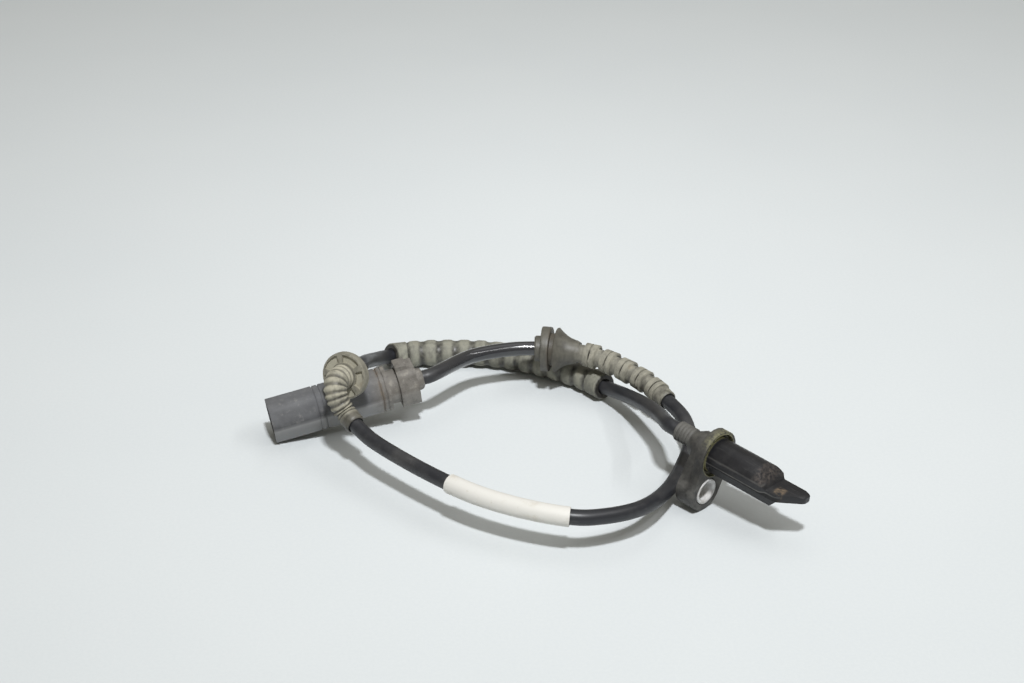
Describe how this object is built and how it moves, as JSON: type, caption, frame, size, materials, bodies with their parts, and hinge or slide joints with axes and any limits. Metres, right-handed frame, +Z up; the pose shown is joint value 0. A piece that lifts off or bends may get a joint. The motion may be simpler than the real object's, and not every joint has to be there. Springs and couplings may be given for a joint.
{
  "type": "abs wheel speed sensor",
  "caption": "Wheel speed sensor: black sensing head with a bolt-on lug, a cable with rubber sleeve and grommets, and a plug connector at the far end.",
  "frame": {"origin": "on the surface that the part lies on, under the middle of the sensor head", "axes": "+Z up, +X along the longer side of the head's footprint, pointing away from the connector, +Y away from the front loop of the cable"},
  "size_m": [0.1745, 0.1305, 0.0349],
  "materials": {
    "black_plastic": "moulded black plastic, slightly glossy",
    "flange_plastic": "dusty moulded plastic",
    "steel": "plain steel",
    "chip_black": "epoxy case",
    "magnet_grey": "sintered grey",
    "tinned_copper": "tinned",
    "core_insulation": "brown insulation",
    "cable_jacket": "black jacket, slightly glossy",
    "dusty_rubber": "dusty rubber",
    "white_film": "off-white sleeve, faintly stained",
    "connector_plastic": "dusty grey plastic",
    "carrier_plastic": "plain moulded plastic",
    "seal_rubber": "soft brown rubber"
  },
  "bodies": {
    "root": {"sensor_body": "black_plastic", "flange_moulding": "flange_plastic", "mounting_bush": "steel", "sensing_chip": "chip_black", "back_magnet": "magnet_grey", "signal_leg": "tinned_copper", "supply_leg": "tinned_copper", "signal_crimp": "tinned_copper", "supply_crimp": "tinned_copper", "signal_core_at_head": "core_insulation", "supply_core_at_head": "core_insulation", "signal_pin": "tinned_copper", "supply_pin": "tinned_copper", "signal_core_at_connector": "core_insulation", "supply_core_at_connector": "core_insulation", "cable": "cable_jacket", "corrugated_sleeve": "dusty_rubber", "panel_grommet": "dusty_rubber", "bracket_grommet": "dusty_rubber", "marker_sleeve": "white_film", "connector_shell": "connector_plastic", "contact_carrier": "carrier_plastic", "secondary_lock": "carrier_plastic", "cable_seal": "seal_rubber", "rear_cap": "connector_plastic", "neck_boot": "dusty_rubber"}
  },
  "joints": []
}
